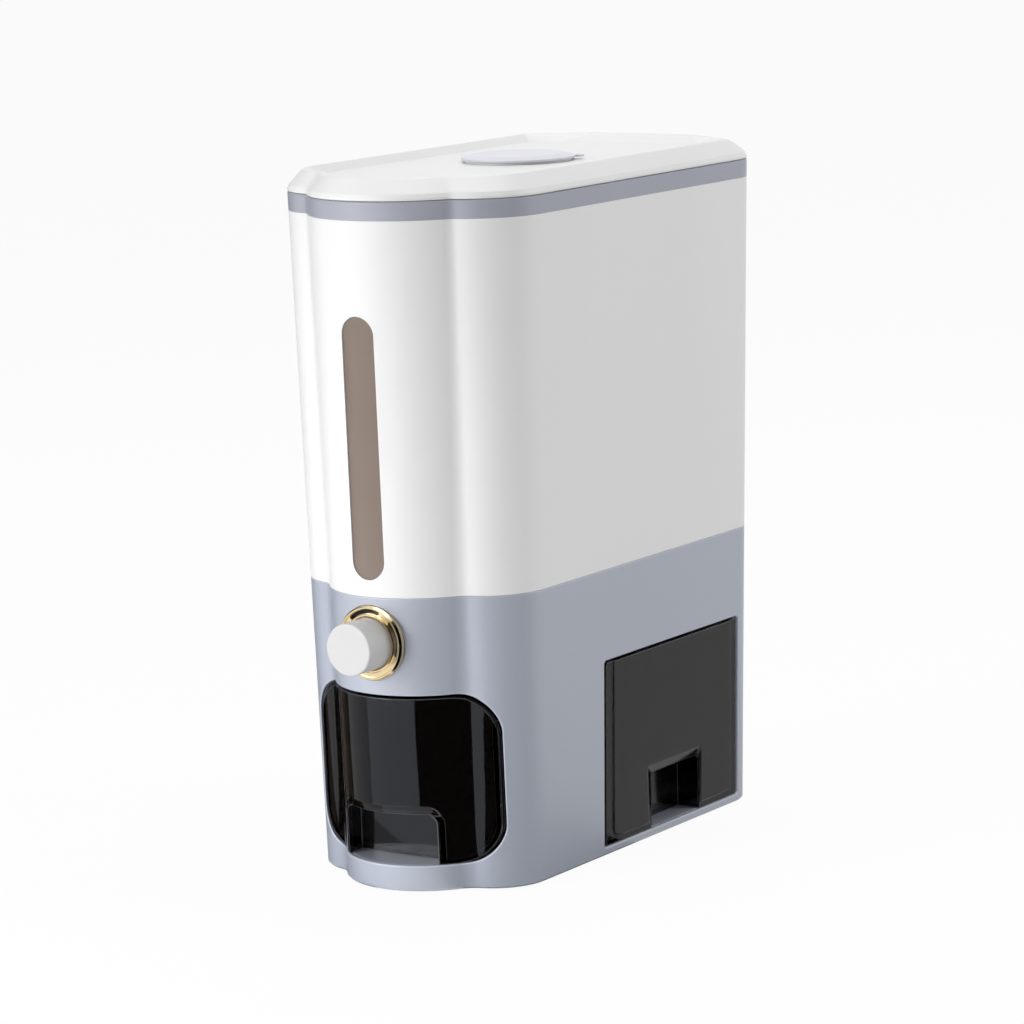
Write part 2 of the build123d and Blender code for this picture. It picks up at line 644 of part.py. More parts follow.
# ---------------------------------------------------------------- button and shutter
def make_bezel() -> Part:
    """Brass ring with a collar, three curved slots and four snap legs."""
    bore = BUTTON_R + RUN
    floor_back = BEZEL_FLOOR_Y + BEZEL_FLOOR_T
    ring = turned([
        (bore, BEZEL_Y[1]),
        (bore, BEZEL_COLLAR_Y + BEZEL_EASE),
        (bore + BEZEL_EASE, BEZEL_COLLAR_Y),
        (BEZEL_COLLAR_R - BEZEL_EASE, BEZEL_COLLAR_Y),
        (BEZEL_COLLAR_R, BEZEL_COLLAR_Y + BEZEL_EASE),
        (BEZEL_COLLAR_R, BEZEL_FLOOR_Y),
        (BEZEL_RIM_R, BEZEL_FLOOR_Y),
        (BEZEL_RIM_R, BEZEL_Y[0] + BEZEL_EASE / 2),
        (BEZEL_RIM_R + BEZEL_EASE / 2, BEZEL_Y[0]),
        (BEZEL_RIM_R + 2 * BEZEL_EASE, BEZEL_Y[0]),
        (BEZEL_R, BEZEL_Y[0] + BEZEL_FLANK),
        (BEZEL_R, BEZEL_Y[1]),
        (BEZEL_RIM_R, BEZEL_Y[1]),
        (BEZEL_RIM_R, floor_back),
        (bore + GUIDE_T, floor_back),
        (bore + GUIDE_T, BEZEL_Y[1]),
    ])
    pitch = 360 / BEZEL_LEGS
    plane = Plane((0, 0, BUTTON_Z), x_dir=(1, 0, 0), z_dir=(0, -1, 0))
    leg_ring = rod(BEZEL_RIM_R + BEZEL_EASE, (floor_back - BEZEL_EASE, LEG_END))
    leg_ring -= rod(BEZEL_RIM_R - LEG_T, (0, GUIDE_END))
    for index in range(BEZEL_LEGS):
        start = SLOT_START_DEG + index * pitch
        if index < BEZEL_SLOTS:
            curve = CenterArc((0, 0), BEZEL_SLOT_R, start - SLOT_SPAN_DEG / 2, SLOT_SPAN_DEG)
            ring -= extrude(plane * SlotArc(curve, BEZEL_SLOT_W), amount=GUIDE_END, both=True)
        middle = start + pitch / 2
        corners = [(0, 0)]
        for turn in (middle - LEG_SPAN_DEG / 2, middle + LEG_SPAN_DEG / 2):
            angle = math.radians(turn)
            corners.append((2 * BEZEL_R * math.cos(angle), 2 * BEZEL_R * math.sin(angle)))
        sector = make_face(Polyline(*corners, close=True))
        ring += leg_ring & extrude(plane * sector, amount=GUIDE_END, both=True)
    return ring


def make_button_guide() -> Part:
    """Sleeve that the cap runs in, on a plate that stands on the deck."""
    bore = BUTTON_R + RUN
    sleeve_y = (BEZEL_Y[1] + FIT / 2, GUIDE_END)
    guide = rod(bore + GUIDE_T, sleeve_y)
    half = GUIDE_PLATE_W / 2
    guide += block((-half, half), GUIDE_PLATE, (DECK_TOP, BUTTON_Z + GUIDE_PLATE_RISE))
    guide -= rod(bore, (sleeve_y[0] - OVER, GUIDE_END - GUIDE_CAP_T))
    return guide - rod(STEM_R + STEM_FIT, (0, GUIDE_END + OVER))


def make_button_cap() -> Part:
    """White push button, hollow, with a boss for the stem and the spring."""
    cap = rod(BUTTON_R, (BUTTON_FRONT, BUTTON_END))
    front_edge = cap.edges().filter_by(GeomType.CIRCLE).sort_by(Axis.Y)[0]
    cap = fillet(front_edge, BUTTON_EDGE)
    inner = BUTTON_FRONT + BUTTON_FACE
    cap -= rod(BUTTON_R - BUTTON_WALL, (inner, BUTTON_END + OVER))
    cap += rod(BOSS_OUT_R, (inner, BOSS_END))
    return cap - rod(STEM_R + STEM_FIT, (inner, BOSS_END + OVER))


def make_button_stem() -> Part:
    """Stem from the cap back to the shutter's tab."""
    stem = rod(STEM_R, (BUTTON_FRONT + BUTTON_FACE, SHUTTER_Y[0]))
    return stem + rod(STEM_NECK_R, (SHUTTER_Y[0], STEM_END))


def biarc(p0: Vector, t0: Vector, p1: Vector, t1: Vector) -> list:
    """Two arcs that join two points with their tangents."""
    v = p1 - p0
    t = t0 + t1
    a = 2 * (1 - t0.dot(t1))
    b = 2 * v.dot(t)
    reach = (-b + math.sqrt(b**2 + 4 * a * v.dot(v))) / (2 * a)
    joint = (p0 + p1 + (t0 - t1) * reach) / 2
    middle = (joint - p0 - t0 * reach).normalized()
    return [TangentArc(p0, joint, tangent=t0), TangentArc(joint, p1, tangent=middle)]


def spring_point(turn: float, y: tuple) -> Vector:
    """The spring's centre line after a number of turns."""
    angle = 2 * math.pi * turn
    along = y[0] + (y[1] - y[0]) * turn / SPRING_TURNS
    return Vector(SPRING_R * math.cos(angle), along, BUTTON_Z + SPRING_R * math.sin(angle))


def spring_tangent(turn: float, y: tuple) -> Vector:
    """Direction of the spring's centre line after a number of turns."""
    angle = 2 * math.pi * turn
    swing = 2 * math.pi * SPRING_R
    rise = (y[1] - y[0]) / SPRING_TURNS
    return Vector(-swing * math.sin(angle), rise, swing * math.cos(angle)).normalized()


def make_return_spring() -> Part:
    """Wound steel spring between the cap's boss and the sleeve's end wall."""
    seat = SPRING_WIRE / 2 + RUN / 2
    y = (BOSS_END + seat, GUIDE_END - GUIDE_CAP_T - seat)
    edges = []
    for step in range(SPRING_TURNS * 2):
        t0 = step / 2
        t1 = t0 + 0.5
        first = (spring_point(t0, y), spring_tangent(t0, y))
        last = (spring_point(t1, y), spring_tangent(t1, y))
        edges += biarc(*first, *last)
    path = Wire(edges)
    start = Plane(spring_point(0, y), z_dir=spring_tangent(0, y))
    spring = sweep(start * Circle(SPRING_WIRE / 2), path=path)
    print(f"return spring: least gap to itself {least_gap(edges):.2f} mm")
    return spring


def least_gap(edges: list) -> float:
    """The spring's least gap to itself, from points along its centre line."""
    shares = (0.0, 0.25, 0.5, 0.75)
    points = [edge @ share for edge in edges for share in shares]
    apart = len(shares) * 2  # half a turn of wire lies between the points compared
    lengths = [(b - a).length for i, a in enumerate(points) for b in points[i + apart:]]
    return min(lengths) - SPRING_WIRE


def make_stem_clip() -> Part:
    """Retaining ring behind the shutter's tab."""
    start = SHUTTER_Y[0] + TAB_T + FIT / 2
    ring = rod(CLIP_R, (start, start + CLIP_T)) - rod(STEM_NECK_R + STEM_FIT, (0, STEM_END))
    mouth = (BUTTON_Z - CLIP_R - OVER, BUTTON_Z)
    return ring - block((-STEM_R / 2, STEM_R / 2), (0, STEM_END), mouth)


def shutter_z() -> tuple:
    """Lower and upper face of the shutter."""
    return (PORT_Z - SHUTTER_GAP - SHUTTER_T, PORT_Z - SHUTTER_GAP)


def make_shutter() -> Part:
    """Sliding plate with the dosing slot and the tab that the stem pulls on."""
    z = shutter_z()
    half = SHUTTER_W / 2
    plate = block((-half, half), SHUTTER_Y, z)
    slot_y = (PORT_Y[0] - STROKE, PORT_Y[1] - STROKE)
    plate -= block((-SHUTTER_HOLE_W / 2, SHUTTER_HOLE_W / 2), slot_y, (z[0] - OVER, z[1] + OVER))
    tab_y = (SHUTTER_Y[0], SHUTTER_Y[0] + TAB_T)
    tab = block((-TAB_W / 2, TAB_W / 2), tab_y, (z[0], BUTTON_Z + TAB_RISE))
    return plate + tab - rod(STEM_NECK_R + STEM_FIT, (tab_y[0] - OVER, tab_y[1] + OVER))


def make_shutter_rails() -> list:
    """Two channel rails on the deck, for the shutter's long edges."""
    z = shutter_z()
    inner = SHUTTER_W / 2 - RAIL_LEDGE
    outer = SHUTTER_W / 2 + RUN + RAIL_T
    rails = []
    for side in (-1, 1):
        x = sorted((side * inner, side * outer))
        rail = block(x, RAIL_Y, (DECK_TOP, z[1] + RUN + RAIL_TOP))
        groove = sorted((0, side * (outer - RAIL_T)))
        rails.append(rail - block(groove, (0, DEPTH), (z[0] - RUN, z[1] + RUN)))
    return rails


def chute_block(grow: float, z: tuple) -> Part:
    """The chute's bore, grown by a margin."""
    lead = CHUTE_LEAD + grow
    return block((-PORT_W / 2 - lead, PORT_W / 2 + lead), (PORT_Y[0] - lead, PORT_Y[1] + lead), z)


def make_outlet_chute() -> Part:
    """Short duct from under the shutter to the cup, with a flange on the deck."""
    top = shutter_z()[0] - SHUTTER_GAP
    chute = chute_block(CHUTE_T, (CHUTE_FOOT, top))
    chute += chute_block(CHUTE_T + CHUTE_FLANGE, (DECK_TOP, DECK_TOP + CHUTE_FLANGE_T))
    return chute - chute_block(0, (CHUTE_FOOT - OVER, top + OVER))


# ---------------------------------------------------------------- lid
def beyond_rear(side: int, inward: float, drop: float, out: float, up: float) -> Part:
    """What lies beyond a plane along the line that cuts one rear corner of the crest.

    The line is moved inward and down, and the plane's normal is given by its share
    outward and its share up.
    """
    top = RIM_Z + CREST_H - drop
    first = Vector(side * (HALF - FACET_SIDE[0]), DEPTH - FACET_SIDE[1], top)
    last = Vector(side * (HALF - FACET_BACK[0]), DEPTH - FACET_BACK[1], top)
    along = (last - first).normalized() * side
    outward = Vector(along.Y, -along.X, 0)
    normal = outward * out + Vector(0, 0, 1) * up
    plane = Plane((first + last) / 2 - outward * inward, x_dir=along, z_dir=normal)
    return extrude(plane * Rectangle(3 * FAR, 2 * FAR), amount=FAR)


def rear_facets(drop: float) -> Part:
    """What lies over the facets that cut the rear corners of the crest, lowered by a drop."""
    tilt = math.radians(FACET_DEG)
    out, up = math.sin(tilt), math.cos(tilt)
    return beyond_rear(-1, 0, drop, out, up) + beyond_rear(1, 0, drop, out, up)


def pocket() -> Part:
    """The sunk panel's hollow: steep sides, cut rear corners and a broad rear slope."""
    crest = RIM_Z + CREST_H
    deep = crest - PANEL_Z
    edge = CREST_INSET + CREST_LAND
    outward = edge - OVER * PANEL_SLOPE / deep
    hollow = slab(edge + PANEL_SLOPE, PANEL_Z, outward, crest + OVER)
    for side in (-1, 1):
        hollow -= beyond_rear(side, CREST_LAND, 0, deep, -PANEL_SLOPE)
    rear = DEPTH - edge
    ramp = [(rear - REAR_RAMP, PANEL_Z - OVER * deep / REAR_RAMP), (rear, crest), (DEPTH, crest), (DEPTH, 0)]
    fill = extrude(Plane.YZ * make_face(Polyline(*ramp, close=True)), amount=HALF, both=True)
    return hollow - fill


def lid_outside() -> Part:
    """The lid's outer form: eased upright edge, broad slope, crest and sunk panel."""
    low = RIM_Z + RUN
    crest = RIM_Z + CREST_H
    steps = [
        (SEAM, low),
        (0, low + SEAM),
        (0, RIM_Z + LID_EDGE_H - EDGE_ROUND / 2),
        (EDGE_ROUND * 0.4, RIM_Z + LID_EDGE_H + EDGE_ROUND * 0.4),
        (CREST_INSET - CREST_EASE, crest - CREST_EASE),
        (CREST_INSET + CREST_EASE, crest),
    ]
    lid = slab(*steps[0], *steps[1])
    for lower, upper in zip(steps[1:], steps[2:]):
        lid += slab(*lower, *upper)
    return lid - pocket()


def make_lid() -> Part:
    """Lid with a plug for the seal, a seat ring for the cap and a hole for the basket."""
    low = RIM_Z + RUN
    ceiling = PANEL_Z - LID_T
    lid = lid_outside() - (slab(WALL, low, LID_SHELL, ceiling) - rear_facets(LID_T))
    plug_in = WALL + PLUG_GAP
    plug = slab(plug_in, RIM_Z - PLUG_DEPTH, plug_in, ceiling)
    plug -= slab(plug_in + PLUG_T, RIM_Z - PLUG_DEPTH - OVER, plug_in + PLUG_T, PANEL_Z)
    groove = slab(0, SEAL_Z, 0, SEAL_Z + SEAL_H)
    groove_in = plug_in + SEAL_GROOVE
    groove -= slab(groove_in, SEAL_Z - OVER, groove_in, SEAL_Z + SEAL_H + OVER)
    lid = lid + (plug - groove) - rear_facets(0) + post(SEAT_R, 0, CAP_Y, (ceiling, SEAT_Z))
    flange = (SEAT_Z - BASKET_FLANGE_T - FIT / 2, RIM_Z + CREST_H)
    lid -= post(BASKET_FLANGE_R + FIT, 0, CAP_Y, flange)
    return lid - post(BASKET_R + FIT, 0, CAP_Y, (RIM_Z - FAR, RIM_Z + CREST_H))


def make_lid_seal() -> Part:
    """Soft ring in the plug's groove."""
    out = WALL + PLUG_GAP - SEAL_PROUD
    into = WALL + PLUG_GAP + SEAL_GROOVE - FIT / 4
    z = (SEAL_Z + FIT / 2, SEAL_Z + SEAL_H - FIT / 2)
    return slab(out, z[0], out, z[1]) - slab(into, z[0] - OVER, into, z[1] + OVER)


def make_desiccant_basket() -> Part:
    """Slotted basket for a drying sachet, hung in the lid."""
    top = SEAT_Z
    foot = top - BASKET_DEEP
    basket = post(BASKET_R, 0, CAP_Y, (foot, top))
    basket += post(BASKET_FLANGE_R, 0, CAP_Y, (top - BASKET_FLANGE_T, top))
    basket -= post(BASKET_R - BASKET_T, 0, CAP_Y, (foot + BASKET_T, top + OVER))
    slot_z = (foot + 2 * BASKET_T, foot + 2 * BASKET_T + BASKET_SLOT_H)
    slot = block((0, BASKET_R + OVER), (-BASKET_SLOT_W / 2, BASKET_SLOT_W / 2), slot_z)
    slot -= post(BASKET_R - 2 * BASKET_T, 0, 0, (foot, top))
    for index in range(BASKET_SLOTS):
        basket -= Pos(0, CAP_Y, 0) * Rot(0, 0, index * 360 / BASKET_SLOTS) * slot
    return basket


def make_desiccant_cap() -> Part:
    """Round cap on the lid's panel, with a skirt into the basket."""
    low = SEAT_Z + FIT
    edge = low + CAP_EDGE_H
    profile = [(0, low), (CAP_R, low), (CAP_R, edge), (CAP_R - CAP_BEVEL, low + CAP_H), (0, low + CAP_H)]
    face = Plane.XZ * make_face(Polyline(*profile, close=True))
    cap = Pos(0, CAP_Y, 0) * revolve(face, Axis.Z)
    tab = Pos(CAP_R, 0, low) * SlotOverall(2 * CAP_TAB, CAP_TAB_W)
    cap += Pos(0, CAP_Y, 0) * Rot(0, 0, CAP_TAB_DEG) * extrude(tab, amount=CAP_EDGE_H)
    skirt_r = BASKET_R - BASKET_T - RUN
    skirt = post(skirt_r, 0, CAP_Y, (low - CAP_SKIRT, low))
    skirt -= post(skirt_r - BASKET_T, 0, CAP_Y, (low - CAP_SKIRT - OVER, low))
    return cap + skirt


# ---------------------------------------------------------------- write every node
NODES = {
    "base_housing": make_base_housing,
    "bottom_plate": make_bottom_plate,
    "rubber_feet": make_feet,
    "base_screws": make_base_screws,
    "cup_bay_liner": make_cup_bay_liner,
    "drawer_bay_liner": make_drawer_bay_liner,
    "mechanism_deck": make_deck,
    "outlet_chute": make_outlet_chute,
    "shutter_rails": make_shutter_rails,
    "button_guide": make_button_guide,
    "button_bezel": make_bezel,
    "hopper_shell": make_hopper_shell,
    "level_window": make_level_window,
    "hopper_funnel": make_hopper_funnel,
    "trim_band": make_trim_band,
    "button_cap": make_button_cap,
    "button_stem": make_button_stem,
    "return_spring": make_return_spring,
    "stem_clip": make_stem_clip,
    "dosing_shutter": make_shutter,
    "catch_cup": make_catch_cup,
    "side_drawer": make_side_drawer,
    "lid": make_lid,
    "lid_seal": make_lid_seal,
    "desiccant_basket": make_desiccant_basket,
    "desiccant_cap": make_desiccant_cap,
}

os.makedirs("parts", exist_ok=True)
for name, make in NODES.items():
    made = make()
    save(name, *(made if isinstance(made, list) else [made]))
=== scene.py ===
"""Looks of the rice dispenser with a drawer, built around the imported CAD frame.

All sizes are in metres. -Y is the front with the push button and the catch cup, +X the side
that the drawer comes out of.
"""

import logging
import math
from dataclasses import dataclass
from enum import Enum
from typing import ClassVar

import bpy
from mathutils import Matrix, Vector

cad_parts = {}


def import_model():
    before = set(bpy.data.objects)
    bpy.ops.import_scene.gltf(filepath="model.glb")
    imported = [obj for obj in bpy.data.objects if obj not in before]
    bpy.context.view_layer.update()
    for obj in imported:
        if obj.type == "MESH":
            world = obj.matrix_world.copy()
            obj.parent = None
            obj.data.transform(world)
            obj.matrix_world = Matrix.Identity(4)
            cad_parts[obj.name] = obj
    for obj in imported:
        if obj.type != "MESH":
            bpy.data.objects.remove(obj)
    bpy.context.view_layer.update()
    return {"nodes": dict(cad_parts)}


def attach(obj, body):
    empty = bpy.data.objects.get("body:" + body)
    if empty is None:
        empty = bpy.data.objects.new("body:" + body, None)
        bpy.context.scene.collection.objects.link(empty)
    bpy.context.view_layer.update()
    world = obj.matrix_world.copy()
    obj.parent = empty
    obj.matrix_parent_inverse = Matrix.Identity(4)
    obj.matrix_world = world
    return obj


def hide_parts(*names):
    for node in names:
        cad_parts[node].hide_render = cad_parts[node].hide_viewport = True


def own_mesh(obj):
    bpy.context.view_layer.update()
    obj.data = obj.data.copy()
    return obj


LOG = logging.getLogger("dispenser")
MIX_FIRST, MIX_SECOND, MIX_RESULT = 6, 7, 2  # the Mix node's colour sockets
NOISE_MEAN = 0.5
BEVEL_SAMPLES = 6
EDGE_ALIKE = (0.82, 0.99)  # dot product of soft and true normals, at an edge and off it


class Ray(Enum):
    """Kinds of rays that a lamp or a stage piece can be kept from."""

    CAMERA = "visible_camera"
    DIFFUSE = "visible_diffuse"
    GLOSSY = "visible_glossy"
    THROUGH = "visible_transmission"
    SHADOW = "visible_shadow"


# ------------------------------------------------------------------ shader maths
class Number:
    """A value that changes over a surface, with the operators that the finishes use."""

    def __init__(self, paint: "Paint", socket: bpy.types.NodeSocket) -> None:
        """Wraps one output socket of a paint's tree."""
        self.paint = paint
        self.socket = socket

    def _math(self, operation: str, other: "Number | float") -> "Number":
        """Adds one Math node and gives its result."""
        values = {0: self, 1: other}
        return self.paint.node("ShaderNodeMath", {"operation": operation}, values).out()

    def __add__(self, other: "Number | float") -> "Number":
        """Sum."""
        return self._math("ADD", other)

    def __sub__(self, other: "Number | float") -> "Number":
        """Difference."""
        return self._math("SUBTRACT", other)

    def __mul__(self, other: "Number | float") -> "Number":
        """Product."""
        return self._math("MULTIPLY", other)

    def spread(self, low: float, high: float, to_low: float, to_high: float) -> "Number":
        """Maps a range of values to another, with soft ends.

        Args:
            low: value that gives to_low.
            high: value that gives to_high.
            to_low: result at and below low.
            to_high: result at and above high.

        Returns:
            The mapped number.
        """
        settings = {"interpolation_type": "SMOOTHSTEP"}
        values = {
            "Value": self,
            "From Min": low,
            "From Max": high,
            "To Min": to_low,
            "To Max": to_high,
        }
        return self.paint.node("ShaderNodeMapRange", settings, values).out("Result")


class Made:
    """A node that was made, whose outputs are asked for by name."""

    def __init__(self, paint: "Paint", node: bpy.types.Node) -> None:
        """Keeps the node and its paint."""
        self.paint = paint
        self.node = node

    def out(self, name: str | int = 0) -> Number:
        """One output as a number, colour, vector or shader."""
        return Number(self.paint, self.node.outputs[name])


class Paint:
    """The node tree of a material or of the world."""

    def __init__(self, owner: bpy.types.Material | bpy.types.World) -> None:
        """Empties the owner's tree.

        Args:
            owner: the material or the world that is painted.
        """
        owner.use_nodes = True
        self.owner = owner
        self.tree = owner.node_tree
        self.tree.nodes.clear()

    @classmethod
    def material(cls, name: str) -> "Paint":
        """The paint of a new material."""
        return cls(bpy.data.materials.new(name))

    def node(self, kind: str, settings: dict | None = None, values: dict | None = None) -> Made:
        """Makes a node.

        Args:
            kind: the node's type.
            settings: properties, set before any socket.
            values: numbers, tuples or links for its input sockets.

        Returns:
            The made node.
        """
        node = self.tree.nodes.new(kind)
        for key, value in (settings or {}).items():
            setattr(node, key, value)
        for key, value in (values or {}).items():
            if isinstance(value, Number):
                self.tree.links.new(value.socket, node.inputs[key])
            else:
                node.inputs[key].default_value = value
        return Made(self, node)

    def noise(self, scale: float, detail: float = 2.0, stretch: tuple | None = None) -> Number:
        """Noise about its mean, in object coordinates.

        Args:
            scale: waves to a metre.
            detail: octaves.
            stretch: scale along each axis, to draw the noise out.

        Returns:
            The noise's value.
        """
        spot = self.node("ShaderNodeTexCoord").out("Object")
        if stretch:
            spot = self.node("ShaderNodeMapping", {}, {"Vector": spot, "Scale": stretch}).out()
        values = {"Vector": spot, "Scale": scale, "Detail": detail}
        return self.node("ShaderNodeTexNoise", {}, values).out()

    def mix(self, share: Number, first: tuple | Number, second: tuple | Number) -> Number:
        """A colour between two.

        Args:
            share: 0 for the first colour, 1 for the second.
            first: a colour.
            second: a colour.

        Returns:
            The mixed colour.
        """
        values = {0: share, MIX_FIRST: rgba(first), MIX_SECOND: rgba(second)}
        return self.node("ShaderNodeMix", {"data_type": "RGBA"}, values).out(MIX_RESULT)

    def tones(self, share: Number, colour: tuple, low: float, high: float) -> Number:
        """A colour that goes from one share of itself to another."""
        return self.mix(share, shade(colour, low), shade(colour, high))

    def bump(self, height: Number, distance: float, edge: float = 0.0) -> Number:
        """Normals from a height.

        Args:
            height: what stands out, from 0 to 1.
            distance: how far it stands out, in metres.
            edge: radius of the softened edges, or 0 for sharp ones.

        Returns:
            The bent normal.
        """
        values = {"Height": height, "Distance": distance}
        if edge:
            values["Normal"] = self.soft_edges(edge)
        return self.node("ShaderNodeBump", {}, values).out()

    def soft_edges(self, radius: float) -> Number:
        """Normals that round every edge off by a small radius."""
        return self.node("ShaderNodeBevel", {"samples": BEVEL_SAMPLES}, {"Radius": radius}).out()

    def edges(self, radius: float) -> Number:
        """A mask along the edges.

        Args:
            radius: how far the mask reaches from an edge, in metres.

        Returns:
            1 along the edges and 0 on smooth faces.
        """
        true = self.node("ShaderNodeNewGeometry").out("Normal")
        values = {0: self.soft_edges(radius), 1: true}
        alike = self.node("ShaderNodeVectorMath", {"operation": "DOT_PRODUCT"}, values).out("Value")
        return alike.spread(*EDGE_ALIKE, 1.0, 0.0)

    def background_rays(self) -> Number:
        """1 or more for rays that see the background: camera, glossy and transmission rays."""
        path = self.node("ShaderNodeLightPath")
        seen = path.out("Is Camera Ray") + path.out("Is Glossy Ray")
        return seen + path.out("Is Transmission Ray")

    def glow(self, strength: float) -> Number:
        """White emission."""
        values = {"Color": (1.0, 1.0, 1.0, 1.0), "Strength": strength}
        return self.node("ShaderNodeEmission", {}, values).out()

    def surface(self, values: dict) -> Number:
        """The Principled shader with its values."""
        return self.node("ShaderNodeBsdfPrincipled", {}, values).out()

    def blend(self, share: Number, first: Number, second: Number) -> Number:
        """A shader between two."""
        return self.node("ShaderNodeMixShader", {}, {0: share, 1: first, 2: second}).out()

    def finish(self, shader: Number) -> bpy.types.Material | bpy.types.World:
        """Links the shader to the output.

        Args:
            shader: what the surface or the background shows.

        Returns:
            The finished material or world.
        """
        kind = "World" if isinstance(self.owner, bpy.types.World) else "Material"
        self.node("ShaderNodeOutput" + kind, {}, {"Surface": shader})
        return self.owner


def rgba(colour: tuple | Number) -> tuple | Number:
    """Adds alpha to a plain colour."""
    return colour if isinstance(colour, Number) else (*colour, 1.0)


def shade(colour: tuple, share: float) -> tuple:
    """A colour made darker or lighter by a share."""
    return tuple(max(0.0, min(1.0, part * share)) for part in colour)


# ------------------------------------------------------------------ finishes
class Finish:
    """A surface finish, which is made into a material once."""

    name: str

    def material(self) -> bpy.types.Material:
        """The finish's material, made when it is first asked for."""
        return bpy.data.materials.get(self.name) or self.make()

    def make(self) -> bpy.types.Material:
        """Builds the material; each kind of finish has its own way."""
        raise NotImplementedError


@dataclass(frozen=True)
class MouldedPlastic(Finish):
    """Satin moulded plastic with faint flow marks, a fine grain and a painted highlight along its
    edges.
    """

    name: str
    colour: tuple
    roughness: float
    level: float = 0.5
    coat: float = 0.0
    coat_roughness: float = 0.42
    edge: float = 0.0008
    # how much lighter the painted highlight along the edges makes the base colour
    edge_highlight_gain: float = 1.15
    flow_scale: float = 9.0
    flow_detail: float = 3.0
    flow_stretch: tuple = (1.0, 1.0, 0.35)
    flow_swing: float = 0.025
    flow_range: tuple = (0.3, 0.7)
    flow_roughness: tuple = (-0.03, 0.04)
    grain_scale: float = 2600.0
    grain_height: float = 0.00002
    grain_roughness: float = 0.05

    def make(self) -> bpy.types.Material:
        """Builds the material.

        Returns:
            The finished material.
        """
        paint = Paint.material(self.name)
        flow = paint.noise(self.flow_scale, self.flow_detail, self.flow_stretch)
        grain = paint.noise(self.grain_scale)
        flat = paint.tones(flow, self.colour, 1 - self.flow_swing, 1 + self.flow_swing)
        smooth, dull = (self.roughness + change for change in self.flow_roughness)
        rough = flow.spread(*self.flow_range, smooth, dull)
        # painted highlight: the base colour is lightened along the edges, in place of the light
        # lines that the edges catch
        with_edge_highlight = paint.mix(paint.edges(self.edge), flat, shade(self.colour, self.edge_highlight_gain))
        return paint.finish(paint.surface({
            "Base Color": with_edge_highlight,
            "Roughness": rough + (grain - NOISE_MEAN) * self.grain_roughness,
            "Normal": paint.bump(grain, self.grain_height, self.edge),
            "Specular IOR Level": self.level,
            "Coat Weight": self.coat,
            "Coat Roughness": self.coat_roughness,
        }))


@dataclass(frozen=True)
class SmokedPlastic(Finish):
    """Clear plastic with a smoke tint, faint moulding waves and a painted highlight along its
    edges.
    """

    name: str
    tint: tuple
    roughness: float
    clear: float = 1.0
    sheen: tuple = (0.84, 0.89, 1.0)
    level: float = 0.5
    ior: float = 1.49
    edge: float = 0.0010
    # painted highlight along the edges: its share, colour and roughness
    edge_highlight_share: float = 0.30
    edge_highlight_colour: tuple = (0.42, 0.42, 0.45)
    edge_highlight_roughness: float = 0.35
    wave_scale: float = 24.0
    wave_stretch: tuple = (1.0, 1.0, 0.4)
    wave_swing: float = 0.1
    wave_height: float = 0.0003
    haze_scale: float = 420.0
    haze_detail: float = 3.0
    haze_range: tuple = (0.35, 0.7)
    haze_gain: tuple = (0.8, 1.5)

    def make(self) -> bpy.types.Material:
        """Builds the material.

        Returns:
            The finished material.
        """
        paint = Paint.material(self.name)
        wave = paint.noise(self.wave_scale, stretch=self.wave_stretch)
        haze = paint.noise(self.haze_scale, self.haze_detail)
        polished, hazy = (self.roughness * gain for gain in self.haze_gain)
        clear = paint.surface({
            "Base Color": paint.tones(wave, self.tint, 1 - self.wave_swing, 1 + self.wave_swing),
            "Roughness": haze.spread(*self.haze_range, polished, hazy),
            "Normal": paint.bump(wave, self.wave_height, self.edge),
            "Transmission Weight": self.clear,
            "IOR": self.ior,
            "Specular Tint": rgba(self.sheen),
            "Specular IOR Level": self.level,
        })
        # painted highlight: a pale grey surface mixed in along the edges, in place of the light
        # lines that the edges catch
        pale = paint.surface({
            "Base Color": rgba(self.edge_highlight_colour),
            "Roughness": self.edge_highlight_roughness,
        })
        return paint.finish(paint.blend(paint.edges(self.edge) * self.edge_highlight_share, clear, pale))


@dataclass(frozen=True)
class TurnedMetal(Finish):
    """Polished or ground metal with fine marks of its making."""

    name: str
    colour: tuple
    roughness: float
    marks: tuple
    mark_scale: float = 900.0
    mark_detail: float = 3.0
    mark_height: float = 0.00001
    mark_range: tuple = (0.3, 0.7)
    mark_gain: tuple = (0.7, 1.4)
    tone_scale: float = 60.0
    tone_gain: tuple = (0.93, 1.05)

    def make(self) -> bpy.types.Material:
        """Builds the material.

        Returns:
            The finished material.
        """
        paint = Paint.material(self.name)
        lines = paint.noise(self.mark_scale, self.mark_detail, self.marks)
        tone = paint.noise(self.tone_scale)
        polished, dull = (self.roughness * gain for gain in self.mark_gain)
        return paint.finish(paint.surface({
            "Base Color": paint.tones(tone, self.colour, *self.tone_gain),
            "Metallic": 1.0,
            "Roughness": lines.spread(*self.mark_range, polished, dull),
            "Normal": paint.bump(lines, self.mark_height),
        }))


@dataclass(frozen=True)
class SoftRubber(Finish):
    """Matt rubber with a coarse grain."""

    name: str
    colour: tuple
    roughness: float
    grain_scale: float = 1500.0
    grain_detail: float = 3.0
    grain_height: float = 0.00004
    grain_range: tuple = (0.2, 0.8)
    grain_swing: float = 0.08
    tone_gain: tuple = (0.8, 1.25)

    def make(self) -> bpy.types.Material:
        """Builds the material.

        Returns:
            The finished material.
        """
        paint = Paint.material(self.name)
        grain = paint.noise(self.grain_scale, self.grain_detail)
        smooth, dull = self.roughness - self.grain_swing, self.roughness + self.grain_swing
        return paint.finish(paint.surface({
            "Base Color": paint.tones(grain, self.colour, *self.tone_gain),
            "Roughness": grain.spread(*self.grain_range, smooth, dull),
            "Normal": paint.bump(grain, self.grain_height),
        }))


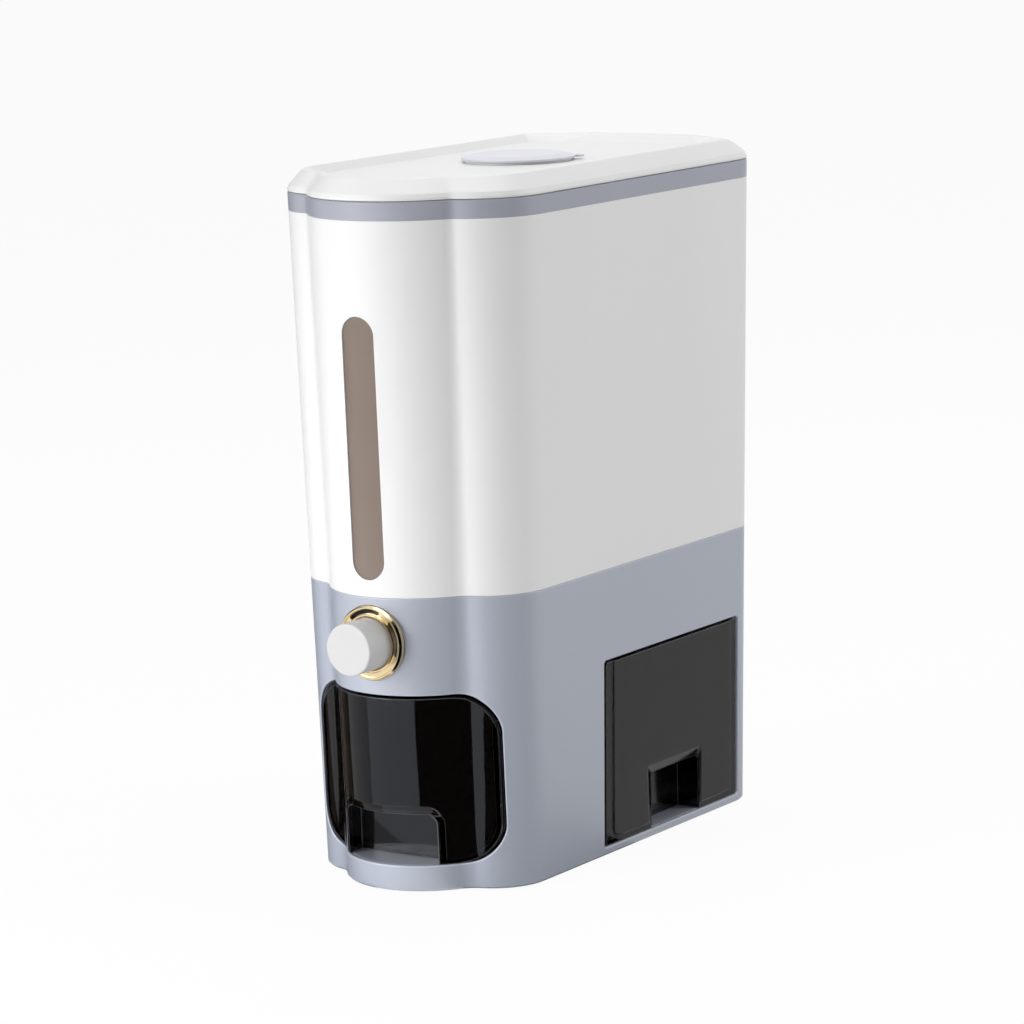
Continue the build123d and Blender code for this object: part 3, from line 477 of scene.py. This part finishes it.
WHITE = MouldedPlastic("white_satin_plastic", (0.73, 0.73, 0.735), 0.38)
# the blue-grey base gets a stronger painted highlight along its edges
BLUE_GREY = MouldedPlastic(
    "blue_grey_plastic", (0.366, 0.395, 0.468), 0.40,
    level=1.0, coat=1.0, edge=0.0013, edge_highlight_gain=2.0,
)
BAND_GREY = MouldedPlastic("band_grey_plastic", (0.33, 0.345, 0.40), 0.34, coat=0.5)
BUTTON_WHITE = MouldedPlastic("button_white_plastic", (0.53, 0.525, 0.525), 0.42)
LINER_GREY = MouldedPlastic("liner_grey_plastic", (0.22, 0.23, 0.26), 0.5)
CAP_LAVENDER = MouldedPlastic("lavender_grey_plastic", (0.62, 0.62, 0.68), 0.35)
BASKET_PALE = MouldedPlastic("basket_pale_plastic", (0.70, 0.71, 0.73), 0.45)
CUP_SMOKE = SmokedPlastic("cup_smoked_plastic", (0.085, 0.066, 0.056), 0.05)
DRAWER_SMOKE = SmokedPlastic(
    "drawer_smoked_plastic", (0.10, 0.085, 0.075), 0.12, sheen=(0.95, 0.94, 1.0),
)
WINDOW_SMOKE = SmokedPlastic(
    "window_smoked_plastic", (0.265, 0.205, 0.17), 0.12, clear=0.3, sheen=(1.0, 1.0, 1.0),
)
BRASS = TurnedMetal("polished_brass", (0.86, 0.69, 0.42), 0.17, marks=(1.0, 0.2, 1.0))
STEEL = TurnedMetal("bright_steel", (0.62, 0.62, 0.64), 0.28, marks=(1.0, 0.15, 1.0))
FOOT_BLACK = SoftRubber("foot_rubber", (0.05, 0.05, 0.05), 0.75)
SEAL_PALE = SoftRubber("seal_rubber", (0.68, 0.68, 0.67), 0.55)


# ------------------------------------------------------------------ geometry nodes
Socket = bpy.types.NodeSocket


class Tree:
    """A Geometry Nodes tree with named inputs."""

    def __init__(self, name: str, sizes: dict[str, float]) -> None:
        """Starts the tree and its inputs.

        Args:
            name: the tree's name.
            sizes: lengths or counts by input name, in metres where they are lengths.
        """
        self.group = bpy.data.node_groups.new(name, "GeometryNodeTree")
        sockets = self.group.interface
        sockets.new_socket("Places", in_out="INPUT", socket_type="NodeSocketGeometry")
        sockets.new_socket("Result", in_out="OUTPUT", socket_type="NodeSocketGeometry")
        for size in sizes:
            sockets.new_socket(size, in_out="INPUT", socket_type="NodeSocketFloat")
        self.sizes = sizes
        self.inputs = self.group.nodes.new("NodeGroupInput").outputs
        self.material: bpy.types.Material | None = None

    def node(self, kind: str, settings: dict, values: dict) -> bpy.types.Node:
        """Makes a node.

        Args:
            kind: the node's type.
            settings: properties, set before any socket.
            values: numbers or links by socket; a list links each of its sockets.

        Returns:
            The made node.
        """
        node = self.group.nodes.new(kind)
        for key, value in settings.items():
            setattr(node, key, value)
        for key, value in values.items():
            for item in value if isinstance(value, list) else [value]:
                if isinstance(item, Socket):
                    self.group.links.new(item, node.inputs[key])
                else:
                    node.inputs[key].default_value = item
        return node

    def out(self, kind: str, settings: dict, values: dict) -> Socket:
        """The first output of a new node."""
        return self.node(kind, settings, values).outputs[0]

    def math(self, operation: str, first: Socket | float, second: Socket | float) -> Socket:
        """The result of one Math node."""
        return self.out("ShaderNodeMath", {"operation": operation}, {0: first, 1: second})

    def vector(self, x: Socket | float, y: Socket | float, z: Socket | float) -> Socket:
        """A vector from three numbers."""
        return self.out("ShaderNodeCombineXYZ", {}, {0: x, 1: y, 2: z})

    def raised(self, geometry: Socket, height: Socket) -> Socket:
        """Geometry moved up by a height."""
        shift = self.vector(0.0, 0.0, height)
        return self.out("GeometryNodeTransform", {}, {"Geometry": geometry, "Translation": shift})

    def end(self, shape: Socket, material: bpy.types.Material) -> None:
        """Puts the shape at every place, realizes it and sets its material.

        Args:
            shape: the geometry of one item.
            material: what the whole piece is made of.
        """
        self.material = material
        placed = self.out("GeometryNodeInstanceOnPoints", {}, {
            "Points": self.inputs["Places"], "Instance": shape,
        })
        real = self.out("GeometryNodeRealizeInstances", {}, {0: placed})
        done = self.out("GeometryNodeSetMaterial", {}, {"Geometry": real, "Material": material})
        self.node("NodeGroupOutput", {}, {0: done})

    def build(self, name: str, places: list) -> bpy.types.Object:
        """Runs the tree on points and gives a plain mesh object.

        Args:
            name: the piece's name.
            places: points in metres.

        Returns:
            The piece, with the modifier gone.
        """
        mesh = bpy.data.meshes.new(name + "_places")
        mesh.from_pydata(places, [], [])
        host = bpy.data.objects.new(name + "_places", mesh)
        bpy.context.scene.collection.objects.link(host)
        modifier = host.modifiers.new(name, "NODES")
        modifier.node_group = self.group
        for socket in self.group.interface.items_tree:
            if socket.in_out == "INPUT" and socket.name in self.sizes:
                modifier[socket.identifier] = self.sizes[socket.name]
        ready = host.evaluated_get(bpy.context.evaluated_depsgraph_get())
        piece = bpy.data.objects.new(name, bpy.data.meshes.new_from_object(ready))
        piece.data.materials.clear()
        piece.data.materials.append(self.material)
        for face in piece.data.polygons:
            face.material_index = 0
        bpy.context.scene.collection.objects.link(piece)
        bpy.data.objects.remove(host)
        return piece


# ------------------------------------------------------------------ sub-assemblies
class SubAssembly:
    """A group of CAD nodes that are dressed together."""

    finishes: ClassVar[dict[str, Finish]] = {}

    def dress(self, nodes: dict) -> None:
        """Gives every node of the group its finish.

        Args:
            nodes: the frame's nodes by name.
        """
        for name, finish in self.finishes.items():
            nodes[name].data.materials.clear()
            nodes[name].data.materials.append(finish.material())
            LOG.info("dressed %s in %s", name, finish.name)

    def tree(self, name: str, sizes: tuple) -> Tree:
        """A tree whose inputs are fields of this sub-assembly."""
        return Tree(name, {size: getattr(self, size) for size in sizes})


@dataclass
class Base(SubAssembly):
    """Lower housing, its plate, screws, feet, bays and deck."""

    screw_places: tuple = ((0.060, -0.0665), (0.060, -0.0345), (0.038, 0.1530))
    head_low: float = 0.0018
    head_radius: float = 0.0035
    head_height: float = 0.0018
    head_sides: int = 48
    crown_height: float = 0.0007
    crown_taper: float = 0.78
    recess_length: float = 0.0040
    recess_width: float = 0.0009
    recess_depth: float = 0.0011
    shank_radius: float = 0.0015
    shank_length: float = 0.0110
    shank_sides: int = 24

    finishes: ClassVar[dict[str, Finish]] = {
        "base_housing": BLUE_GREY,
        "bottom_plate": BLUE_GREY,
        "rubber_feet": FOOT_BLACK,
        "base_screws": STEEL,
        "cup_bay_liner": BLUE_GREY,
        "drawer_bay_liner": BLUE_GREY,
        "mechanism_deck": LINER_GREY,
        "outlet_chute": WHITE,
        "shutter_rails": LINER_GREY,
    }

    def dress(self, nodes: dict) -> None:
        """Dresses the nodes and adds the screws."""
        super().dress(nodes)
        self.screws()

    def screws(self) -> bpy.types.Object:
        """Pan-head screws with a cross recess, in place of the plain ones.

        Returns:
            The piece with all six screws.
        """
        tree = self.tree("cross_screws", (
            "head_radius", "head_height", "crown_height", "crown_taper",
            "recess_length", "recess_width", "recess_depth", "shank_radius", "shank_length",
        ))
        screw = tree.out("GeometryNodeJoinGeometry", {}, {0: [self._head(tree), self._shank(tree)]})
        tree.end(screw, STEEL.material())
        places = [(side * x, y, self.head_low) for side in (-1, 1) for x, y in self.screw_places]
        piece = tree.build("cross_screws", places)
        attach(piece, "housing")
        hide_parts("base_screws")
        LOG.info("built %s: %d screws", piece.name, len(places))
        return piece

    def _head(self, tree: Tree) -> Socket:
        """A screw's head, crown down, with its recess cut.

        Args:
            tree: the screws' tree.

        Returns:
            The head's geometry.
        """
        size = tree.inputs
        crown = tree.out("GeometryNodeMeshCone", {}, {
            "Vertices": self.head_sides,
            "Radius Top": size["head_radius"],
            "Radius Bottom": tree.math("MULTIPLY", size["head_radius"], size["crown_taper"]),
            "Depth": size["crown_height"],
        })
        rim = tree.math("SUBTRACT", size["head_height"], size["crown_height"])
        disc = tree.out("GeometryNodeMeshCylinder", {}, {
            "Vertices": self.head_sides, "Radius": size["head_radius"], "Depth": rim,
        })
        middle = tree.math("ADD", size["crown_height"], tree.math("DIVIDE", rim, 2.0))
        both = [crown, tree.raised(disc, middle)]
        whole = tree.out("GeometryNodeMeshBoolean", {"operation": "UNION"}, {1: both})
        deep = tree.math("MULTIPLY", size["recess_depth"], 2.0)
        bars = (
            tree.vector(size["recess_length"], size["recess_width"], deep),
            tree.vector(size["recess_width"], size["recess_length"], deep),
        )
        cross = [tree.out("GeometryNodeMeshCube", {}, {"Size": bar}) for bar in bars]
        cut = {0: whole, 1: cross}
        return tree.out("GeometryNodeMeshBoolean", {"operation": "DIFFERENCE"}, cut)

    def _shank(self, tree: Tree) -> Socket:
        """A screw's shank, on top of its head.

        Args:
            tree: the screws' tree.

        Returns:
            The shank's geometry.
        """
        size = tree.inputs
        shank = tree.out("GeometryNodeMeshCylinder", {}, {
            "Vertices": self.shank_sides,
            "Radius": size["shank_radius"],
            "Depth": size["shank_length"],
        })
        half = tree.math("DIVIDE", size["shank_length"], 2.0)
        return tree.raised(shank, tree.math("ADD", size["head_height"], half))


@dataclass
class Hopper(SubAssembly):
    """White upper housing with its window, funnel and trim band."""

    finishes: ClassVar[dict[str, Finish]] = {
        "hopper_shell": WHITE,
        "level_window": WINDOW_SMOKE,
        "hopper_funnel": WHITE,
        "trim_band": BAND_GREY,
    }


@dataclass
class Button(SubAssembly):
    """Push button, its brass bezel, spring and shutter."""

    coil_start: tuple = (0.0, -0.16155, 0.1494)
    coil_turns: float = 5.0
    coil_steps: int = 40
    coil_radius: float = 0.0062
    coil_length: float = 0.0371
    wire_radius: float = 0.0008
    wire_sides: int = 14
    coil_anchor: tuple = (0.0, -0.1235, 0.1494)
    coil_pressed: float = 0.665

    finishes: ClassVar[dict[str, Finish]] = {
        "button_bezel": BRASS,
        "button_cap": BUTTON_WHITE,
        "button_guide": WHITE,
        "button_stem": STEEL,
        "return_spring": STEEL,
        "stem_clip": STEEL,
        "dosing_shutter": WHITE,
    }

    def dress(self, nodes: dict) -> None:
        """Dresses the nodes and adds the spring."""
        super().dress(nodes)
        self.spring()

    def spring(self) -> bpy.types.Object:
        """The return spring as a coil of wire.

        Returns:
            The piece, wound along Y from the cap's boss.
        """
        tree = self.tree("coil_spring", ("coil_turns", "coil_radius", "coil_length", "wire_radius"))
        size = tree.inputs
        helix = tree.out("GeometryNodeCurveSpiral", {}, {
            "Resolution": self.coil_steps,
            "Rotations": size["coil_turns"],
            "Start Radius": size["coil_radius"],
            "End Radius": size["coil_radius"],
            "Height": size["coil_length"],
            "Reverse": True,
        })
        section = tree.out("GeometryNodeCurvePrimitiveCircle", {"mode": "RADIUS"}, {
            "Resolution": self.wire_sides, "Radius": size["wire_radius"],
        })
        wire = tree.out("GeometryNodeCurveToMesh", {}, {
            "Curve": helix, "Profile Curve": section, "Fill Caps": True,
        })
        laid = tree.out("GeometryNodeTransform", {}, {
            "Geometry": wire, "Rotation": (-math.pi / 2, 0.0, 0.0),
        })
        tree.end(laid, STEEL.material())
        piece = tree.build("coil_spring", [self.coil_start])
        for face in piece.data.polygons:
            face.use_smooth = True
        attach(piece, "housing")
        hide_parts("return_spring")
        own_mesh(piece)
        LOG.info("built %s: %.0f turns", piece.name, self.coil_turns)
        return piece


@dataclass
class CatchCup(SubAssembly):
    """Smoked cup in the front."""

    finishes: ClassVar[dict[str, Finish]] = {"catch_cup": CUP_SMOKE}


@dataclass
class SideDrawer(SubAssembly):
    """Smoked drawer in the side."""

    finishes: ClassVar[dict[str, Finish]] = {"side_drawer": DRAWER_SMOKE}


@dataclass
class Lid(SubAssembly):
    """Lid with its seal, round cap and basket."""

    finishes: ClassVar[dict[str, Finish]] = {
        "lid": WHITE,
        "lid_seal": SEAL_PALE,
        "desiccant_basket": BASKET_PALE,
        "desiccant_cap": CAP_LAVENDER,
    }


# ------------------------------------------------------------------ camera and studio
@dataclass(frozen=True)
class PhotoCamera:
    """The camera that the photograph was taken with, as fitted to the outline."""

    place: tuple = (1.413323, -2.134715, 0.636495)
    yaw: float = 0.5843803
    pitch: float = 0.1677301
    roll: float = 0.0280623
    lens_px: float = 4271.244
    frame_px: float = 1024.0
    sensor_mm: float = 36.0

    def build(self) -> bpy.types.Object:
        """Makes the camera and makes it the scene's own.

        Returns:
            The camera object.
        """
        data = bpy.data.cameras.new("photo_camera")
        data.sensor_width = self.sensor_mm
        data.lens = self.lens_px * self.sensor_mm / self.frame_px
        level = Vector((math.cos(self.yaw), math.sin(self.yaw), 0))
        ahead = Vector((-math.sin(self.yaw), math.cos(self.yaw), 0))
        down = Vector((0, 0, -1))
        look = ahead * math.cos(self.pitch) + down * math.sin(self.pitch)
        drop = down * math.cos(self.pitch) - ahead * math.sin(self.pitch)
        right = level * math.cos(self.roll) + drop * math.sin(self.roll)
        drop = drop * math.cos(self.roll) - level * math.sin(self.roll)
        turn = Matrix((right, -drop, -look)).transposed()
        camera = bpy.data.objects.new("photo_camera", data)
        camera.matrix_world = Matrix.Translation(self.place) @ turn.to_4x4()
        bpy.context.scene.collection.objects.link(camera)
        bpy.context.scene.camera = camera
        return camera


@dataclass(frozen=True)
class Softbox:
    """A soft lamp that faces the object."""

    name: str
    place: tuple
    size: tuple
    power: float
    target: tuple = (0.0, 0.0, 0.2)
    glossy: bool = True

    def build(self) -> None:
        """Makes the lamp."""
        data = bpy.data.lights.new(self.name, "AREA")
        data.shape = "RECTANGLE"
        data.size, data.size_y = self.size
        data.energy = self.power
        lamp = bpy.data.objects.new(self.name, data)
        turn = (Vector(self.target) - Vector(self.place)).to_track_quat("-Z", "Y")
        lamp.matrix_world = Matrix.Translation(self.place) @ turn.to_matrix().to_4x4()
        setattr(lamp, Ray.GLOSSY.value, self.glossy)
        setattr(lamp, Ray.CAMERA.value, False)
        bpy.context.scene.collection.objects.link(lamp)


@dataclass(frozen=True)
class Flag:
    """A dark card on the table that stands up at its far edge; only gloss shows it.

    Its angles run from the front towards the right, in degrees.
    """

    name: str
    start: float
    end: float
    apex: tuple
    tone: float = 0.0
    radius: float = 0.50
    height: float = 0.75
    lift: float = 0.0002
    steps: int = 24

    def build(self) -> None:
        """Makes the card."""
        corners, faces = [(*self.apex, self.lift)], []
        for step in range(self.steps + 1):
            angle = math.radians(self.start + (self.end - self.start) * step / self.steps)
            x = self.apex[0] + self.radius * math.sin(angle)
            y = self.apex[1] - self.radius * math.cos(angle)
            corners += [(x, y, self.lift), (x, y, self.height)]
            if step:
                last = 2 * step + 1
                faces += [(0, last - 2, last), (last - 2, last, last + 1, last - 1)]
        mesh = bpy.data.meshes.new(self.name)
        mesh.from_pydata(corners, [], faces)
        card = bpy.data.objects.new(self.name, mesh)
        bpy.context.scene.collection.objects.link(card)
        for ray in (Ray.CAMERA, Ray.DIFFUSE, Ray.THROUGH, Ray.SHADOW):
            setattr(card, ray.value, False)
        paint = Paint.material(self.name)
        mesh.materials.append(paint.finish(paint.glow(self.tone)))


RIGHT_APEX = (0.006, 0.0)
LEFT_APEX = (0.0, -0.15)


@dataclass(frozen=True)
class Studio:
    """Pale floor, white surroundings, soft lamps, and black and grey cards for the gloss."""

    floor_half: float = 40.0
    floor_tone: float = 0.80
    floor_lift: float = 0.94
    ambient: float = 0.36
    lamps: tuple = (
        Softbox("key", (-1.25, -2.35, 1.1), (1.4, 1.4), 41.0),
        Softbox("fill", (2.2, 1.3, 1.1), (1.2, 1.6), 24.0),
        Softbox("top", (0.0, 0.2, 2.4), (1.6, 1.6), 25.0),
        Softbox("bounce", (-0.16, -0.62, 0.03), (0.7, 0.05), 1.5, (0.0, -0.14, 0.03), glossy=False),
    )
    flags: tuple = (
        Flag("right_flag", 16.0, 104.0, RIGHT_APEX),
        Flag("left_net", -90.0, -50.0, LEFT_APEX, tone=0.5),
        Flag("left_flag", -129.0, -90.0, LEFT_APEX),
        Flag("rear_net", 104.0, 175.0, RIGHT_APEX, tone=0.5),
    )

    def build(self) -> None:
        """Builds lamps, cards, world and floor, and sets the view."""
        for piece in (*self.lamps, *self.flags):
            piece.build()
        self._world()
        self._floor()
        bpy.context.scene.view_settings.view_transform = "Standard"

    def _world(self) -> None:
        """White where it is seen, a plain level where it only lights."""
        world = bpy.data.worlds.new("studio")
        bpy.context.scene.world = world
        paint = Paint(world)
        strength = paint.background_rays().spread(0.0, 1.0, self.ambient, 1.0)
        values = {"Color": (1.0, 1.0, 1.0, 1.0), "Strength": strength}
        paint.finish(paint.node("ShaderNodeBackground", {}, values).out())

    def _floor(self) -> None:
        """A plain floor under the feet, pale where it is seen, which keeps the shadow."""
        half = self.floor_half
        mesh = bpy.data.meshes.new("floor")
        corners = [(-half, -half, 0), (half, -half, 0), (half, half, 0), (-half, half, 0)]
        mesh.from_pydata(corners, [], [(0, 1, 2, 3)])
        floor = bpy.data.objects.new("floor", mesh)
        bpy.context.scene.collection.objects.link(floor)
        paint = Paint.material("floor_pale")
        tone = self.floor_tone
        dull = paint.node("ShaderNodeBsdfDiffuse", {}, {"Color": (tone, tone, tone, 1.0)}).out()
        share = paint.background_rays().spread(0.0, 1.0, 0.0, self.floor_lift)
        mesh.materials.append(paint.finish(paint.blend(share, dull, paint.glow(1.0))))


def main() -> None:
    """Builds the classes in order."""
    logging.basicConfig(level=logging.INFO)
    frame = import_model()
    for group in (Base(), Hopper(), Button(), CatchCup(), SideDrawer(), Lid()):
        group.dress(frame["nodes"])
    PhotoCamera().build()
    Studio().build()


if __name__ == "__main__":
    main()
